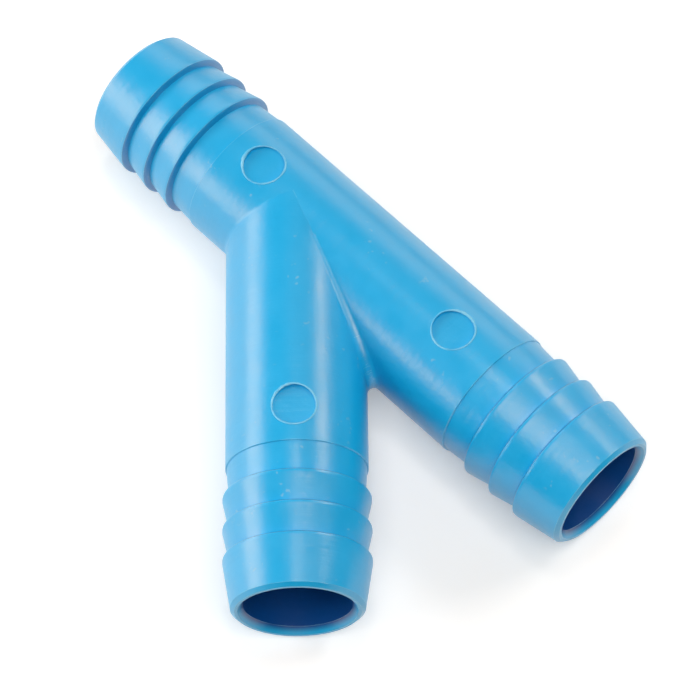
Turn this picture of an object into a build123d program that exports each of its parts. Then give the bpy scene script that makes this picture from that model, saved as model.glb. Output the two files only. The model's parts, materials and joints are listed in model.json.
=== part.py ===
from build123d import *

import math
import os

# A moulded Y connector for flexible tubing, in millimetres and in one piece. A straight run has a barbed
# tail at each end, and a branch of the same diameter leaves it at an acute angle and ends in a third tail.
# The three axes meet at the origin in the plane Z = 0, where the two halves of the mould part. The branch
# points along -Y, the long arm of the run leans away from it towards +X, and the short arm is opposite
# the long one. The ejector pins left their marks on the upper side, +Z.

# Layout: each arm is measured from the origin to the rim of its mouth.
BRANCH_ANGLE = 44.0  # degrees, between the branch and the long arm
SHORT_ARM = 33.0
LONG_ARM = 60.9
BRANCH_ARM = 60.6

# Tube
BODY_R = 10.0
BORE_R = 7.55

# Junction
SEAM_ROUND = 1.1  # along the seam of the branch and the run, from the heel over the crown to the crotch

# Barbed tail: distances run along the axis from the rim inwards.
NOSE_R = 9.33  # behind the bevel on the rim's outer edge
NOSE_BEVEL_WIDTH = 0.61
NOSE_BEVEL_LENGTH = 0.52
MOUTH_WIDENING = 0.75  # of the bore's radius, at the rim
MOUTH_DEPTH = 1.0  # from the rim to where the widening ends
CREST_R = 10.37
ROOT_R = 9.5
SHANK_R = 9.82  # where the shank meets the shoulder
BARB_COUNT = 3
FIRST_CREST = 7.6  # to the back edge of the first barb
BARB_PITCH = 4.65
SHANK_LENGTH = 4.35  # from the back edge of the last barb to the shoulder
CREST_LAND = 0.3  # the narrow cylinder on top of each barb
CREST_BEVEL = 0.2
BARB_BACK = 0.25  # length of the steep face behind a crest
SHOULDER_BEVEL = 0.1

# Ejector marks: shallow flat-bottomed recesses in the crown of each arm.
MARK_R = 3.1
MARK_FLOOR = 9.42  # height of the floor above the axes
MARK_FROM_SHOULDER_SHORT = 5.9  # from the shoulder towards the junction
MARK_FROM_SHOULDER_LONG = 7.75
MARK_FROM_SHOULDER_BRANCH = 5.5

# Cutters run this far past the faces that they open, and joined bodies overlap by as much.
OVERRUN = 1.0

TAIL_LENGTH = FIRST_CREST + (BARB_COUNT - 1) * BARB_PITCH + SHANK_LENGTH

LONG_DIRECTION = Vector(math.sin(math.radians(BRANCH_ANGLE)), -math.cos(math.radians(BRANCH_ANGLE)), 0)
SHORT_DIRECTION = -LONG_DIRECTION
BRANCH_DIRECTION = Vector(0, -1, 0)

# Each arm: its direction from the origin, its length, and where its ejector mark lies.
ARMS = [
    (SHORT_DIRECTION, SHORT_ARM, MARK_FROM_SHOULDER_SHORT),
    (LONG_DIRECTION, LONG_ARM, MARK_FROM_SHOULDER_LONG),
    (BRANCH_DIRECTION, BRANCH_ARM, MARK_FROM_SHOULDER_BRANCH),
]


def rim_plane(direction, length):
    """The plane of an arm's rim, with its origin on the axis and +Z pointing into the arm."""
    return Plane(origin=direction * length, z_dir=-direction)


def tube(direction, start, end, radius):
    """A plain cylinder along an arm, between two distances from the origin."""
    base = Plane(origin=direction * start, x_dir=(0, 0, -1), z_dir=direction)
    return base * Cylinder(radius, end - start, align=(Align.CENTER, Align.CENTER, Align.MIN))


def revolved(corners):
    """Turn a closed profile about Z. Its corners are (radius, distance along Z)."""
    outline = Polyline(corners, close=True)
    return revolve(Plane.XZ * make_face(outline), Axis.Z)


def tail():
    """One barbed tail: a bevelled nose, the barbs, and a shank that ends inside the body."""
    corners = [(0, 0), (NOSE_R - NOSE_BEVEL_WIDTH, 0), (NOSE_R, NOSE_BEVEL_LENGTH)]
    for barb in range(BARB_COUNT):
        crest = FIRST_CREST + barb * BARB_PITCH
        corners.append((CREST_R, crest - CREST_BEVEL - CREST_LAND))
        corners.append((CREST_R, crest - CREST_BEVEL))
        corners.append((CREST_R - CREST_BEVEL, crest))
        corners.append((ROOT_R, crest + BARB_BACK))
    corners.append((SHANK_R, TAIL_LENGTH))
    corners.append((SHANK_R, TAIL_LENGTH + OVERRUN))
    corners.append((0, TAIL_LENGTH + OVERRUN))
    return revolved(corners)


def bodies():
    """The run and the branch up to their shoulders, with the seam between them rounded."""
    run = tube(LONG_DIRECTION, TAIL_LENGTH - SHORT_ARM, LONG_ARM - TAIL_LENGTH, BODY_R)
    branch = tube(BRANCH_DIRECTION, 0, BRANCH_ARM - TAIL_LENGTH, BODY_R)
    joined = run + branch
    joined = fillet(joined.edges().filter_by(GeomType.ELLIPSE), SEAM_ROUND)
    return chamfer(joined.edges().filter_by(GeomType.CIRCLE), SHOULDER_BEVEL)


def core_pin(direction, length):
    """The bore of one arm from the origin outwards, with its mouth widened to lead the flow in."""
    slope = MOUTH_WIDENING / MOUTH_DEPTH
    corners = [
        (0, -OVERRUN),
        (BORE_R + MOUTH_WIDENING + slope * OVERRUN, -OVERRUN),
        (BORE_R, MOUTH_DEPTH),
        (0, MOUTH_DEPTH),
    ]
    return tube(direction, 0, length, BORE_R) + rim_plane(direction, length) * revolved(corners)


def ejector_mark(direction, length, from_shoulder):
    """The cutter for the flat that an ejector pin left in the crown of one arm."""
    centre = direction * (length - TAIL_LENGTH - from_shoulder)
    height = BODY_R - MARK_FLOOR + OVERRUN
    pin = Cylinder(MARK_R, height, align=(Align.CENTER, Align.CENTER, Align.MIN))
    return Pos(centre.X, centre.Y, MARK_FLOOR) * pin


def y_connector():
    """The whole connector."""
    solid = bodies()
    barbed_tail = tail()
    for direction, length, _ in ARMS:
        solid += rim_plane(direction, length) * barbed_tail
    for direction, length, _ in ARMS:
        solid -= core_pin(direction, length)
    for direction, length, from_shoulder in ARMS:
        solid -= ejector_mark(direction, length, from_shoulder)
    return solid


os.makedirs("parts", exist_ok=True)
export_step(y_connector(), "parts/y_connector.step")
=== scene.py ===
import json
import math
import random

import bmesh
import bpy
import numpy as np
from mathutils import Matrix, Vector


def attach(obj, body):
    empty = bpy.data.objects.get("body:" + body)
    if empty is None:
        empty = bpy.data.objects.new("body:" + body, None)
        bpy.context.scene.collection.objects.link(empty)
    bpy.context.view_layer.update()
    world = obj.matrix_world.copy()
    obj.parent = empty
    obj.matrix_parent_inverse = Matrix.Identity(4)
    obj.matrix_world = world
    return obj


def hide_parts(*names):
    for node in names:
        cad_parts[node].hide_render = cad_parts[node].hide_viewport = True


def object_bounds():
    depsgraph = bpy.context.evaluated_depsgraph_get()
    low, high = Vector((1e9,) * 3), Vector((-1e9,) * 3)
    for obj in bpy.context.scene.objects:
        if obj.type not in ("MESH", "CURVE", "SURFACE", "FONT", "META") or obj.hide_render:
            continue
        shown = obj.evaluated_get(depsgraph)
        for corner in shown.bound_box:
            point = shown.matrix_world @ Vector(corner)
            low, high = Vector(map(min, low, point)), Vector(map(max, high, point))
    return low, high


# A moulded Y connector lies on a white table, seen from the branch's side and well above.

NODE = "y_connector"
MM = 0.001

# Camera: a long lens, rolled slightly
CAMERA_PLACE = (15.83, -245.87, 439.17)  # mm
CAMERA_AIM = (7.61, -20.71, 0.0)  # mm
CAMERA_ROLL = -3.193  # degrees, about the line of sight
CAMERA_LENS = 179.48  # mm
CAMERA_SENSOR = 36.0  # mm, its width
CAMERA_CLIP = (0.01, 20.0)  # m

# Table
TABLE_REACH = 12.0  # m
TABLE_WHITE = (0.72, 0.72, 0.72, 1)  # as it lights the part
TABLE_SEEN = (0.97, 0.92, 0.87, 1)  # as the camera and mirrored rays see it
TABLE_BURN = 0.3  # white that is added to that, which burns out all but the close shadows

# Lamps, all at one distance from the part
LAMP_AIM = (8.0, -15.0, 0.0)  # mm
LAMP_DISTANCE = 1.0  # m
SKY_FRONT = 0.025  # radiance of the sky on the camera's side
SKY_BACK = 0.2  # and beyond the part
SKY_BLEND = 0.4  # the Y of a unit direction, to each side, at which the change between them ends
# name, azimuth and elevation in degrees, width and height in metres, radiance
SOFTBOXES = [
    ("left_softbox", 275.0, 19.0, 1.15, 0.50, 4.0),
    ("right_strip", 62.0, 43.0, 0.40, 0.15, 10.4),
    ("overhead_strip", 0.0, 81.0, 0.16, 0.16, 9.6),
    ("rear_softbox", 10.0, 24.0, 1.3, 0.4, 1.45),
    ("fill_softbox", 165.0, 66.0, 0.8, 0.5, 4.2),
]

# Blue plastic; lengths in mm, scales per mm
BLUE_DEEP = (0.0005, 0.425, 0.79, 1)
BLUE_LIGHT = (0.002, 0.475, 0.86, 1)
# painted shade: a deep blue on the bores' walls, standing in for the shade inside them
BORE_PAINTED_SHADE = (0.0, 0.075, 0.30, 1)
BORE_FROM, BORE_TO = 8.1, 7.6  # distances from an arm's axis between which the bore's painted shade comes in
SHEEN = 0.95  # specular level
IOR = 1.57
SHEEN_TINT = (1.0, 0.66, 0.32, 1)  # warm, chosen with the level and IOR to match the photograph's highlights
ROUGHNESS = (0.28, 0.38)  # a start of 0.23 drew contours in the denoised render
UNEVEN = (0.7, 1.3)  # sums of haze and mottle that have the least and the most roughness
HAZE_SCALE = 0.12
MOTTLE_SCALE = 0.35

# Relief
RELIEF = 0.09
TURNING_PITCH = 1.8
TURNING_DRIFT = 0.2  # scale of the noise that keeps the rings from being alike all round
TURNING_SHARE = 0.3
PIMPLE_SCALE = 1.0
PIMPLE_SHARE = 0.35

# Scuffs, in patches on the outside
SCUFF = (0.35, 0.60, 0.75, 1)
SCUFF_SCALE = 1.1
SCUFF_SPECKS = (0.68, 0.78)  # noise between which a speck comes in
SCUFF_PATCH_SCALE = 0.15
SCUFF_PATCHES = (0.5, 0.62)  # and between which a patch does
SCUFF_OUTSIDE = (8.6, 9.0)  # distances from an arm's axis between which they come in
SCUFF_PALE = 0.4
SCUFF_ROUGH = 0.2

# Edges, by a value on each face: 1 for a painted highlight on outer corners, -1 for painted shade in inner
# ones
# painted highlight: a paler blue along the rounded outer corners and the ejector lips
EDGE_PAINTED_HIGHLIGHT = (0.30, 0.76, 0.95, 1)
EDGE_PATCHES = (0.35, 0.6)  # mottle between which the painted highlight goes from EDGE_LEAST to full
EDGE_LEAST = 0.35
ROOT_SHADE = (0.0, 0.13, 0.42, 1)  # painted shade in inner corners, and half as much on the barbs' steps
STEP_SHADE = -0.5
STEP_FACING = 0.6  # a step's normal points this far or further down its arm

# Moulding
BODY_R = 10.0  # mm
BORE_R = 7.55
TAIL_LENGTH = 21.25  # from an arm's rim to its shoulder
TAIL_REACH = 12.0  # a tail's faces lie nearer to its axis than this
CREST_TO_RIM = 7.25  # from the land that a tail's mount names
FAR = 100.0  # further than any point of the part
WELD = 0.002 * MM
NEAR = 0.01 * MM
TINY = 1e-9
LEVEL = 0.9999  # a face whose normal's Z is over this faces straight up
FACET_DEPTH = 0.04 * MM  # no facet of a tube lies deeper than this under its surface
SHARP_ANGLE = 28.0  # degrees, corners sharper than this are rounded
EDGE_ROUND = 0.14 * MM  # on every outer corner
ROOT_ROUND = 0.1 * MM  # in every inner corner

# Ejector marks, each with the raised lip that its pin left; lengths in mm
MARK_R = 3.1
# by the arm's length: from the shoulder to the mark, and degrees from the axis to where its lip is coarsest
MARKS = {33.0: (5.9, 20.0), 60.9: (7.75, 100.0), 60.6: (5.5, 215.0)}
BURR_R = 0.15
BURR_LEAST, BURR_UNEVEN = 0.75, 0.35  # its thickness all round, of BURR_R: the least, and what chance adds
BURR_COARSE, BURR_RAGGED = 0.5, 0.7  # what is added to each where it is coarsest
BURR_FOCUS = 6  # the higher, the narrower that place
BURR_SUNK = 0.03
BURR_FLATTENED = 0.8
BURR_STEPS = 90
BURR_SIDES = 8
# share of the painted highlight on the lip's faces, a value that also picks them out
BURR_PAINTED_HIGHLIGHT = 0.6


def camera():
    data = bpy.data.cameras.new("camera")
    data.lens = CAMERA_LENS
    data.sensor_width = CAMERA_SENSOR
    data.clip_start, data.clip_end = CAMERA_CLIP
    place = Vector(CAMERA_PLACE) * MM
    line = Vector(CAMERA_AIM) * MM - place
    turn = line.to_track_quat("-Z", "Y").to_matrix().to_4x4()
    roll = Matrix.Rotation(math.radians(CAMERA_ROLL), 4, "Z")
    obj = bpy.data.objects.new("camera", data)
    obj.matrix_world = Matrix.Translation(place) @ turn @ roll
    bpy.context.scene.collection.objects.link(obj)
    bpy.context.scene.camera = obj


def nodes(owner):
    """Clear a material's or world's nodes. What is returned adds one, with its inputs set or linked."""
    owner.use_nodes = True
    tree = owner.node_tree
    tree.nodes.clear()

    def add(kind, inputs=None, **settings):
        node = tree.nodes.new("ShaderNode" + kind)
        for setting, value in settings.items():
            setattr(node, setting, value)
        for socket, value in (inputs or {}).items():
            if isinstance(value, bpy.types.NodeSocket):
                tree.links.new(value, node.inputs[socket])
            else:
                node.inputs[socket].default_value = value
        return node.outputs

    return add


def table(height):
    half = TABLE_REACH / 2
    mesh = bpy.data.meshes.new("table")
    corners = [(-half, -half, height), (half, -half, height), (half, half, height), (-half, half, height)]
    mesh.from_pydata(corners, [], [(0, 1, 2, 3)])
    obj = bpy.data.objects.new("table", mesh)
    bpy.context.scene.collection.objects.link(obj)
    mesh.materials.append(white_table())


def white_table():
    """Matt white, partly burnt out where it is seen, so that only the close shadows are left."""
    made = bpy.data.materials.new("white_table")
    add = nodes(made)
    ray = add("LightPath")
    seen = add("Math", {0: ray["Is Camera Ray"], 1: ray["Is Glossy Ray"]}, operation="ADD")[0]
    seen = add("Math", {0: seen, 1: ray["Is Transmission Ray"]}, operation="ADD", use_clamp=True)[0]
    white = add("MixRGB", {"Fac": seen, "Color1": TABLE_WHITE, "Color2": TABLE_SEEN})[0]
    matt = add("BsdfDiffuse", {"Color": white})
    share = add("Math", {0: seen, 1: TABLE_BURN}, operation="MULTIPLY")
    burnt = add("Emission", {"Strength": share[0]})
    both = add("AddShader", {0: matt[0], 1: burnt[0]})
    add("OutputMaterial", {"Surface": both[0]})
    return made


def sky():
    """A grey sky, dim on the camera's side and brighter beyond the part."""
    world = bpy.data.worlds.new("sky")
    add = nodes(world)
    way = add("SeparateXYZ", {0: add("TexCoord")["Generated"]})["Y"]
    change = {"From Min": -SKY_BLEND, "From Max": SKY_BLEND, "To Min": SKY_FRONT, "To Max": SKY_BACK}
    level = add("MapRange", {"Value": way, **change})[0]
    add("OutputWorld", {"Surface": add("Background", {"Strength": level})[0]})
    bpy.context.scene.world = world


def softbox(name, azimuth, elevation, width, height, radiance):
    """A lamp aimed at the part. Azimuth 0 is behind it, along +Y, and 90 is to its right, along +X."""
    data = bpy.data.lights.new(name, "AREA")
    data.shape = "RECTANGLE"
    data.size = width
    data.size_y = height
    data.energy = math.pi * width * height * radiance
    turn = math.radians(azimuth)
    rise = math.radians(elevation)
    way = Vector((math.sin(turn) * math.cos(rise), math.cos(turn) * math.cos(rise), math.sin(rise)))
    obj = bpy.data.objects.new(name, data)
    obj.location = Vector(LAMP_AIM) * MM + way * LAMP_DISTANCE
    obj.rotation_mode = "QUATERNION"
    obj.rotation_quaternion = (-way).to_track_quat("-Z", "Y")
    bpy.context.scene.collection.objects.link(obj)


def plastic(record):
    """Blue plastic with a satin skin: faint turning marks round each arm, haze, mottling and pale scuffs,
    with painted highlights along the outer edges and lips and painted shade in the bores, inner corners and
    steps.
    """
    made = bpy.data.materials.new("blue_plastic")
    add = nodes(made)

    def maths(operation, first, second=0.0):
        return add("Math", {0: first, 1: second}, operation=operation)[0]

    def dot(first, second):
        return add("VectorMath", {0: first, 1: second}, operation="DOT_PRODUCT")["Value"]

    def noise(vector, scale, detail):
        return add("TexNoise", {"Vector": vector, "Scale": scale, "Detail": detail})["Fac"]

    def ramp(value, low, high, to_low=0, to_high=1):
        inputs = {"Value": value, "From Min": low, "From Max": high, "To Min": to_low, "To Max": to_high}
        return add("MapRange", inputs)[0]

    def mixed(share, first, second):
        return add("MixRGB", {"Fac": share, "Color1": first, "Color2": second})[0]

    def from_axis(distance):
        """How far a point lies from an arm's axis, given how far along it the point is."""
        square = maths("SUBTRACT", dot(place, place), maths("MULTIPLY", distance, distance))
        return maths("SQRT", maths("MAXIMUM", square, 0.0))

    place = add("VectorMath", {0: add("TexCoord")["Object"], "Scale": 1 / MM}, operation="SCALE")[0]
    run, branch = [dot(place, m["axis"]) for m in record["mounts"] if m["kind"] == "bore"]
    behind = maths("MULTIPLY", maths("LESS_THAN", branch, 0.0), FAR)
    depth = maths("MINIMUM", from_axis(run), maths("ADD", from_axis(branch), behind))

    # Relief
    on_branch = maths("GREATER_THAN", maths("ABSOLUTE", branch), maths("ABSOLUTE", run))
    axial = add("Mix", {"Factor": on_branch, "A": run, "B": branch}, data_type="FLOAT")[0]
    drift = noise(place, TURNING_DRIFT, 2.0)
    rings = add("CombineXYZ", {"X": maths("MULTIPLY", axial, TURNING_PITCH), "Y": drift})[0]
    turning = maths("MULTIPLY", noise(rings, 1.0, 3.0), TURNING_SHARE)
    pimples = maths("MULTIPLY", noise(place, PIMPLE_SCALE, 2.0), PIMPLE_SHARE)
    relief = {"Strength": 1.0, "Distance": RELIEF * MM, "Height": maths("ADD", turning, pimples)}

    # Colour
    mottle = noise(place, MOTTLE_SCALE, 3.0)
    patches = ramp(noise(place, SCUFF_PATCH_SCALE, 1.0), *SCUFF_PATCHES)
    specks = maths("MULTIPLY", ramp(noise(place, SCUFF_SCALE, 1.0), *SCUFF_SPECKS), patches)
    specks = maths("MULTIPLY", specks, ramp(depth, *SCUFF_OUTSIDE))
    # painted light by face: highlight on outer corners and lips, shade in inner corners and on the barbs'
    # steps
    edge = add("Attribute", attribute_name="edge_painted_light")["Fac"]
    painted_light = maths("MULTIPLY", maths("MAXIMUM", edge, 0.0), ramp(mottle, *EDGE_PATCHES, EDGE_LEAST, 1))
    root = maths("MAXIMUM", maths("MULTIPLY", edge, -1.0), 0.0)
    colour = mixed(mottle, BLUE_DEEP, BLUE_LIGHT)
    # painted shade inside the bores
    colour = mixed(ramp(depth, BORE_TO, BORE_FROM, 1, 0), colour, BORE_PAINTED_SHADE)
    # painted highlight along the outer corners and lips
    colour = mixed(painted_light, colour, EDGE_PAINTED_HIGHLIGHT)
    # painted shade in inner corners and on the barbs' steps
    colour = mixed(root, colour, ROOT_SHADE)
    colour = mixed(maths("MULTIPLY", specks, SCUFF_PALE), colour, SCUFF)

    # Roughness
    uneven = maths("ADD", noise(place, HAZE_SCALE, 4.0), mottle)
    rough = maths("ADD", ramp(uneven, *UNEVEN, *ROUGHNESS), maths("MULTIPLY", specks, SCUFF_ROUGH))

    inputs = {
        "Base Color": colour,
        "Roughness": rough,
        "IOR": IOR,
        "Specular IOR Level": SHEEN,
        "Specular Tint": SHEEN_TINT,
        "Normal": add("Bump", relief)[0],
    }
    add("OutputMaterial", {"Surface": add("BsdfPrincipled", inputs)[0]})
    return made


def arms(record):
    """Each arm's unit direction from the origin and its length, from the record's tail mounts."""
    tails = [mount for mount in record["mounts"] if mount["kind"] == "pin"]
    return [(np.array(t["axis"], float), np.linalg.norm(t["pos_m"]) + CREST_TO_RIM * MM) for t in tails]


def radial(points, axis):
    """How far each point lies from an axis through the origin, and its unit direction from there."""
    away = points - np.outer(points @ axis, axis)
    distance = np.linalg.norm(away, axis=-1)
    return distance, away / np.maximum(distance, TINY)[:, None]


def turned(normals, centres, points, axis):
    """The faces' normals, swung round the axis from each face's centre to each corner."""
    along = normals @ axis
    across = normals - np.outer(along, axis)
    side = np.sign(np.einsum("ij,ij->i", across, radial(centres, axis)[1]))
    spread = side * np.linalg.norm(across, axis=1)
    return np.outer(along, axis) + spread[:, None] * radial(points, axis)[1]


def true_normals(mesh, record):
    """Give every corner the normal of the turned surface that it belongs to."""
    places = np.array([v.co for v in mesh.vertices])
    corner_face = np.repeat(np.arange(len(mesh.polygons)), [len(p.vertices) for p in mesh.polygons])
    corner_vertex = np.array([loop.vertex_index for loop in mesh.loops])
    points = places[corner_vertex]
    normals = np.array([p.normal for p in mesh.polygons])[corner_face]
    centres = np.array([p.center for p in mesh.polygons])[corner_face]
    corners = np.array([c.vector for c in mesh.corner_normals])
    smooth = corners.copy()
    known = np.zeros(len(points), bool)

    def worst(values):
        """The largest value among the corners of each corner's face."""
        most = np.zeros(len(mesh.polygons))
        np.maximum.at(most, corner_face, values)
        return most[corner_face]

    for axis, length in arms(record):
        shoulder = length - TAIL_LENGTH * MM - NEAR
        for radius in (BODY_R * MM, BORE_R * MM):
            off = np.abs(radial(points, axis)[0] - radius)
            on_tube = (worst(off) < FACET_DEPTH) & ~known
            corners[on_tube] = turned(normals, centres, points, axis)[on_tube]
            known |= on_tube
            if radius == BODY_R * MM:
                touching = (off < NEAR) & ~known & (centres @ axis < shoulder) & (centres @ axis > 0)
                corners[touching] = radial(points, axis)[1][touching]
        tail = (centres @ axis > shoulder) & (radial(centres, axis)[0] < TAIL_REACH * MM)
        corners[tail] = turned(normals, centres, points, axis)[tail]
        known |= tail
    flat = (normals[:, 2] > LEVEL) & (centres[:, 2] < BODY_R * MM)
    corners[flat] = normals[flat]
    painted_light = np.array([value.value for value in mesh.attributes["edge_painted_light"].data])[corner_face]
    on_lip = np.isclose(painted_light, BURR_PAINTED_HIGHLIGHT)
    corners[on_lip] = smooth[on_lip]
    corners /= np.linalg.norm(corners, axis=1)[:, None]
    mesh.normals_split_custom_set([tuple(c) for c in corners])


def burr(skin, painted_light_layer, axis, length):
    """The ragged lip that the ejector pin left round its mark."""
    from_shoulder, coarsest = MARKS[round(length / MM, 1)]
    middle = length / MM - TAIL_LENGTH - from_shoulder
    along, across = Vector(axis), Vector((-axis[1], axis[0], 0.0))
    draw = random.Random(round(length / MM))
    rings = []
    for step in range(BURR_STEPS):
        turn = 2 * math.pi * step / BURR_STEPS
        near = max(0.0, math.cos(turn - math.radians(coarsest))) ** BURR_FOCUS
        even = BURR_LEAST + BURR_UNEVEN * draw.random()
        thick = BURR_R * (even + near * (BURR_COARSE + BURR_RAGGED * draw.random()))
        ring = []
        for side in range(BURR_SIDES):
            swing = 2 * math.pi * side / BURR_SIDES
            out = MARK_R + thick * math.cos(swing)
            off = out * math.sin(turn)
            rise = math.sqrt(BODY_R**2 - off**2) - BURR_SUNK + BURR_FLATTENED * thick * math.sin(swing)
            spot = along * (middle + out * math.cos(turn)) + across * off + Vector((0, 0, rise))
            ring.append(skin.verts.new(spot * MM))
        rings.append(ring)
    faces = []
    for first, second in zip(rings, rings[1:] + rings[:1]):
        for side in range(BURR_SIDES):
            after = (side + 1) % BURR_SIDES
            faces.append(skin.faces.new((first[side], second[side], second[after], first[after])))
            # the lip's faces take a share of the painted highlight
            faces[-1][painted_light_layer] = BURR_PAINTED_HIGHLIGHT
    bmesh.ops.recalc_face_normals(skin, faces=faces)


def rounded(skin, painted_light_layer, convex, offset, painted_light):
    """Round every sharp outer corner, or every inner one, and mark its new faces for painted highlight or
    painted shade.
    """
    sharp = math.radians(SHARP_ANGLE)
    edges = [e for e in skin.edges if e.calc_face_angle(0) > sharp and e.is_convex == convex]
    made = bmesh.ops.bevel(
        skin, geom=edges, offset=offset, segments=2, profile=0.5, affect="EDGES", clamp_overlap=True
    )
    for face in made["faces"]:
        face[painted_light_layer] = painted_light


def moulding(node, record):
    """The CAD node's mesh in one welded skin, with every moulded corner rounded."""
    mesh = bpy.data.meshes.new("moulding")
    skin = bmesh.new()
    skin.from_mesh(node.data)
    # a face value of painted light: highlight on rounded outer corners and lips, shade in inner corners and
    # on steps
    painted_light_layer = skin.faces.layers.float.new("edge_painted_light")
    bmesh.ops.remove_doubles(skin, verts=skin.verts, dist=WELD)
    rounded(skin, painted_light_layer, True, EDGE_ROUND, 1.0)
    rounded(skin, painted_light_layer, False, ROOT_ROUND, -1.0)
    for axis, length in arms(record):
        for face in skin.faces:
            # painted shade on the barbs' steps, which face back down their arms
            middle = face.calc_center_median().dot(Vector(axis))
            if middle > length - TAIL_LENGTH * MM and face.normal.dot(Vector(axis)) < -STEP_FACING:
                face[painted_light_layer] = min(face[painted_light_layer], STEP_SHADE)
        burr(skin, painted_light_layer, axis, length)
    for face in skin.faces:
        face.smooth = True
    skin.to_mesh(mesh)
    skin.free()
    true_normals(mesh, record)
    obj = bpy.data.objects.new("moulding", mesh)
    bpy.context.scene.collection.objects.link(obj)
    mesh.materials.append(plastic(record))
    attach(obj, "root")
    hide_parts(NODE)


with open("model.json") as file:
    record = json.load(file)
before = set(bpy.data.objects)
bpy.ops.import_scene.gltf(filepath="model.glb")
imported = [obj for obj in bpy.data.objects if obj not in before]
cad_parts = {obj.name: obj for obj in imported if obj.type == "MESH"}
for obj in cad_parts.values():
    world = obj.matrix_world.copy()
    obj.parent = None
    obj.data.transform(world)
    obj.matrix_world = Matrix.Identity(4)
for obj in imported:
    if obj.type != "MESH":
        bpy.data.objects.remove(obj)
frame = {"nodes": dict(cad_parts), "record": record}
cad_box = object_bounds()
bpy.context.scene.view_settings.view_transform = "Standard"
camera()
sky()
table(cad_box[0].z)
moulding(frame["nodes"][NODE], frame["record"])
for lamp in SOFTBOXES:
    softbox(*lamp)
